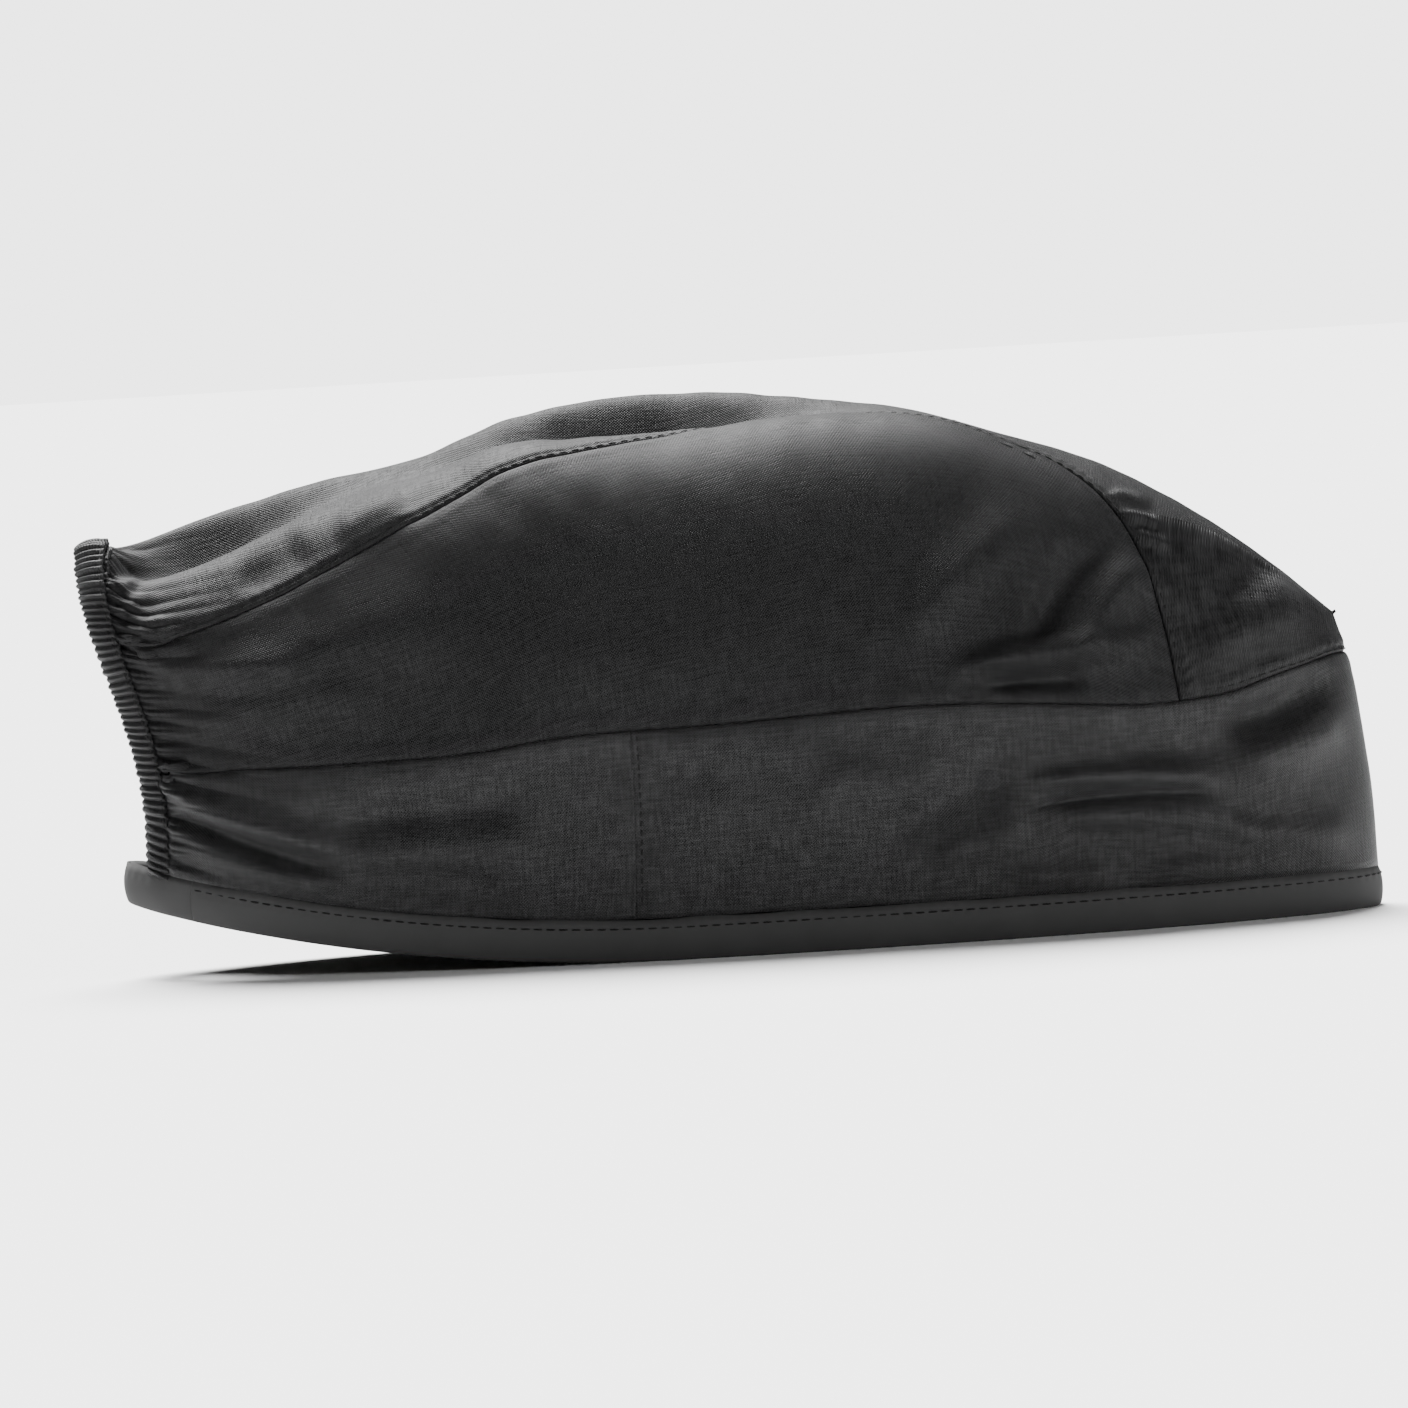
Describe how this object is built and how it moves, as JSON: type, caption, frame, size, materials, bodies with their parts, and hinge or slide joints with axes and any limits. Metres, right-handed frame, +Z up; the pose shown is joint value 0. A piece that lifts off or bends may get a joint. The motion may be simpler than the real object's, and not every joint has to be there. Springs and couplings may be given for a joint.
{
  "type": "chef cap",
  "caption": "Low banded fabric chef cap with a centre crown strip, two side panels, a folded hem and an elastic arch over the nape opening.",
  "frame": {"origin": "on the surface that the hem rests on, under the middle of the cap", "axes": "+X to the forehead along the cap's length, +Y to the wearer's left, +Z up to the crown"},
  "size_m": [0.278, 0.0744, 0.1193],
  "materials": {
    "cloth": "plain woven, slight sheen",
    "hem_cloth": "plain woven, folded and pressed",
    "lining": "soft matt",
    "elastic": "woven elastic tape",
    "thread": "spun polyester thread"
  },
  "bodies": {
    "cap": {"front_band": "cloth", "rear_band_right": "cloth", "rear_band_left": "cloth", "crown_centre_panel": "cloth", "crown_side_panel_right": "cloth", "crown_side_panel_left": "cloth", "hem_binding": "hem_cloth", "nape_strap": "hem_cloth", "sweatband": "lining", "hem_thread": "thread", "band_seam_thread": "thread", "crown_seam_thread_right": "thread", "crown_seam_thread_left": "thread", "band_joint_thread_right": "thread", "band_joint_thread_left": "thread"},
    "nape_arch": {"nape_casing": "cloth", "nape_elastic": "elastic", "casing_thread": "thread"}
  },
  "joints": [
    {"name": "nape_stretch", "type": "hinge", "parent": "cap", "child": "nape_arch", "pos_m": [-0.1281, 0, 0.024], "axis": [0, -1, 0], "range_deg": [0, 12], "stiffness_Nm_per_rad": 0.3}
  ]
}
